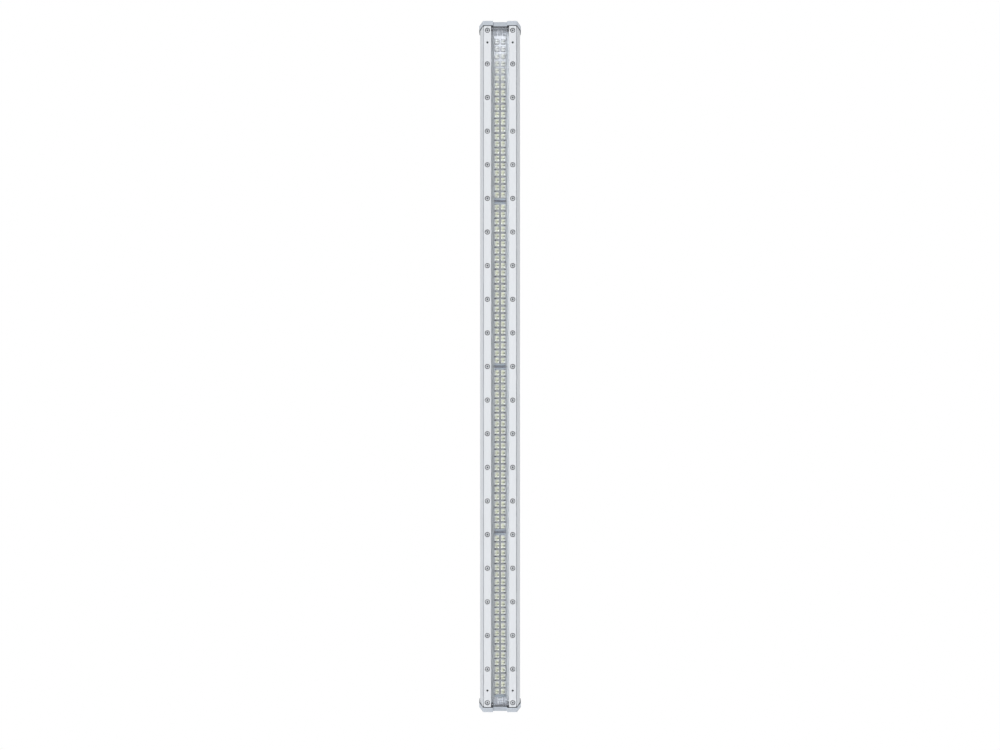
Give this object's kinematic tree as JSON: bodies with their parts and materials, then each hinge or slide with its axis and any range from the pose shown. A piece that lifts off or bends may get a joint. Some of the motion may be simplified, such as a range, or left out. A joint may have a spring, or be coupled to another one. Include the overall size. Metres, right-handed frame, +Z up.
{
  "type": "linear LED floodlight",
  "caption": "Long slim outdoor floodlight: grey extruded housing, glass window over rows of lensed LEDs between screwed clamp strips, notched end caps, tilting wall brackets.",
  "frame": {"origin": "in the wall plane, halfway between the upper and the lower wall foot and on the lamp's middle plane", "axes": "+Z up along the lamp, +Y from the lamp into the wall, +X to the right as one looks at the lit front; the light shines towards -Y"},
  "size_m": [0.0734, 0.1308, 1.2],
  "materials": {
    "housing_paint": "satin silver-grey powder coat on an aluminium extrusion",
    "strip_paint": "satin light silver paint on flat aluminium bar",
    "cap_paint": "satin silver-grey powder coat on an aluminium casting",
    "steel": "plain stainless steel",
    "rubber": "matt black silicone rubber",
    "clear_glass": "clear polished glass",
    "board_laminate": "white solder mask",
    "lens_plastic": "clear moulded optics with a yellow-green cast from the LEDs",
    "lead_sleeve": "white insulation",
    "driver_case": "plain grey case",
    "thermal_pad": "matt grey-blue gap filler",
    "nylon": "black nylon"
  },
  "bodies": {
    "wall_brackets": {"wall_foot_upper": "steel", "pivot_bolt_upper": "steel", "pivot_nut_upper": "steel", "pivot_washer_upper": "steel", "wall_foot_lower": "steel", "pivot_bolt_lower": "steel", "pivot_nut_lower": "steel", "pivot_washer_lower": "steel"},
    "lamp": {"housing": "housing_paint", "cover_glass": "clear_glass", "glass_gasket": "rubber", "glass_seal_left": "rubber", "glass_seal_right": "rubber", "clamp_strip_left": "strip_paint", "clamp_strip_right": "strip_paint", "strip_screws_left": "steel", "strip_screws_right": "steel", "end_cap_top": "cap_paint", "end_gasket_top": "rubber", "end_cap_bottom": "cap_paint", "end_gasket_bottom": "rubber", "cap_screw_top_1": "steel", "cap_screw_top_2": "steel", "cap_screw_top_3": "steel", "cap_screw_top_4": "steel", "cap_screw_bottom_1": "steel", "cap_screw_bottom_2": "steel", "cap_screw_bottom_3": "steel", "cap_screw_bottom_4": "steel", "led_board_1": "board_laminate", "led_board_2": "board_laminate", "led_board_3": "board_laminate", "led_board_4": "board_laminate", "lens_array_1": "lens_plastic", "lens_array_2": "lens_plastic", "lens_array_3": "lens_plastic", "lens_array_4": "lens_plastic", "board_link_1": "nylon", "board_link_2": "nylon", "board_link_3": "nylon", "lead_top_left": "lead_sleeve", "lead_top_right": "lead_sleeve", "lead_bottom_left": "lead_sleeve", "lead_bottom_right": "lead_sleeve", "led_driver_top": "driver_case", "led_driver_bottom": "driver_case", "driver_pad_top": "thermal_pad", "driver_pad_bottom": "thermal_pad", "driver_link_lead": "nylon", "gland_body": "nylon", "gland_seal": "rubber", "gland_nut": "nylon", "gland_locknut": "nylon", "breather_vent": "nylon", "rail_saddle_upper": "steel", "rail_jaw_upper": "steel", "jaw_bolt_upper": "steel", "rail_saddle_lower": "steel", "rail_jaw_lower": "steel", "jaw_bolt_lower": "steel"}
  },
  "joints": [
    {"name": "tilt", "type": "hinge", "parent": "wall_brackets", "child": "lamp", "pos_m": [0, -0.05, 0], "axis": [0, 0, 1], "range_deg": [-90, 90]}
  ]
}
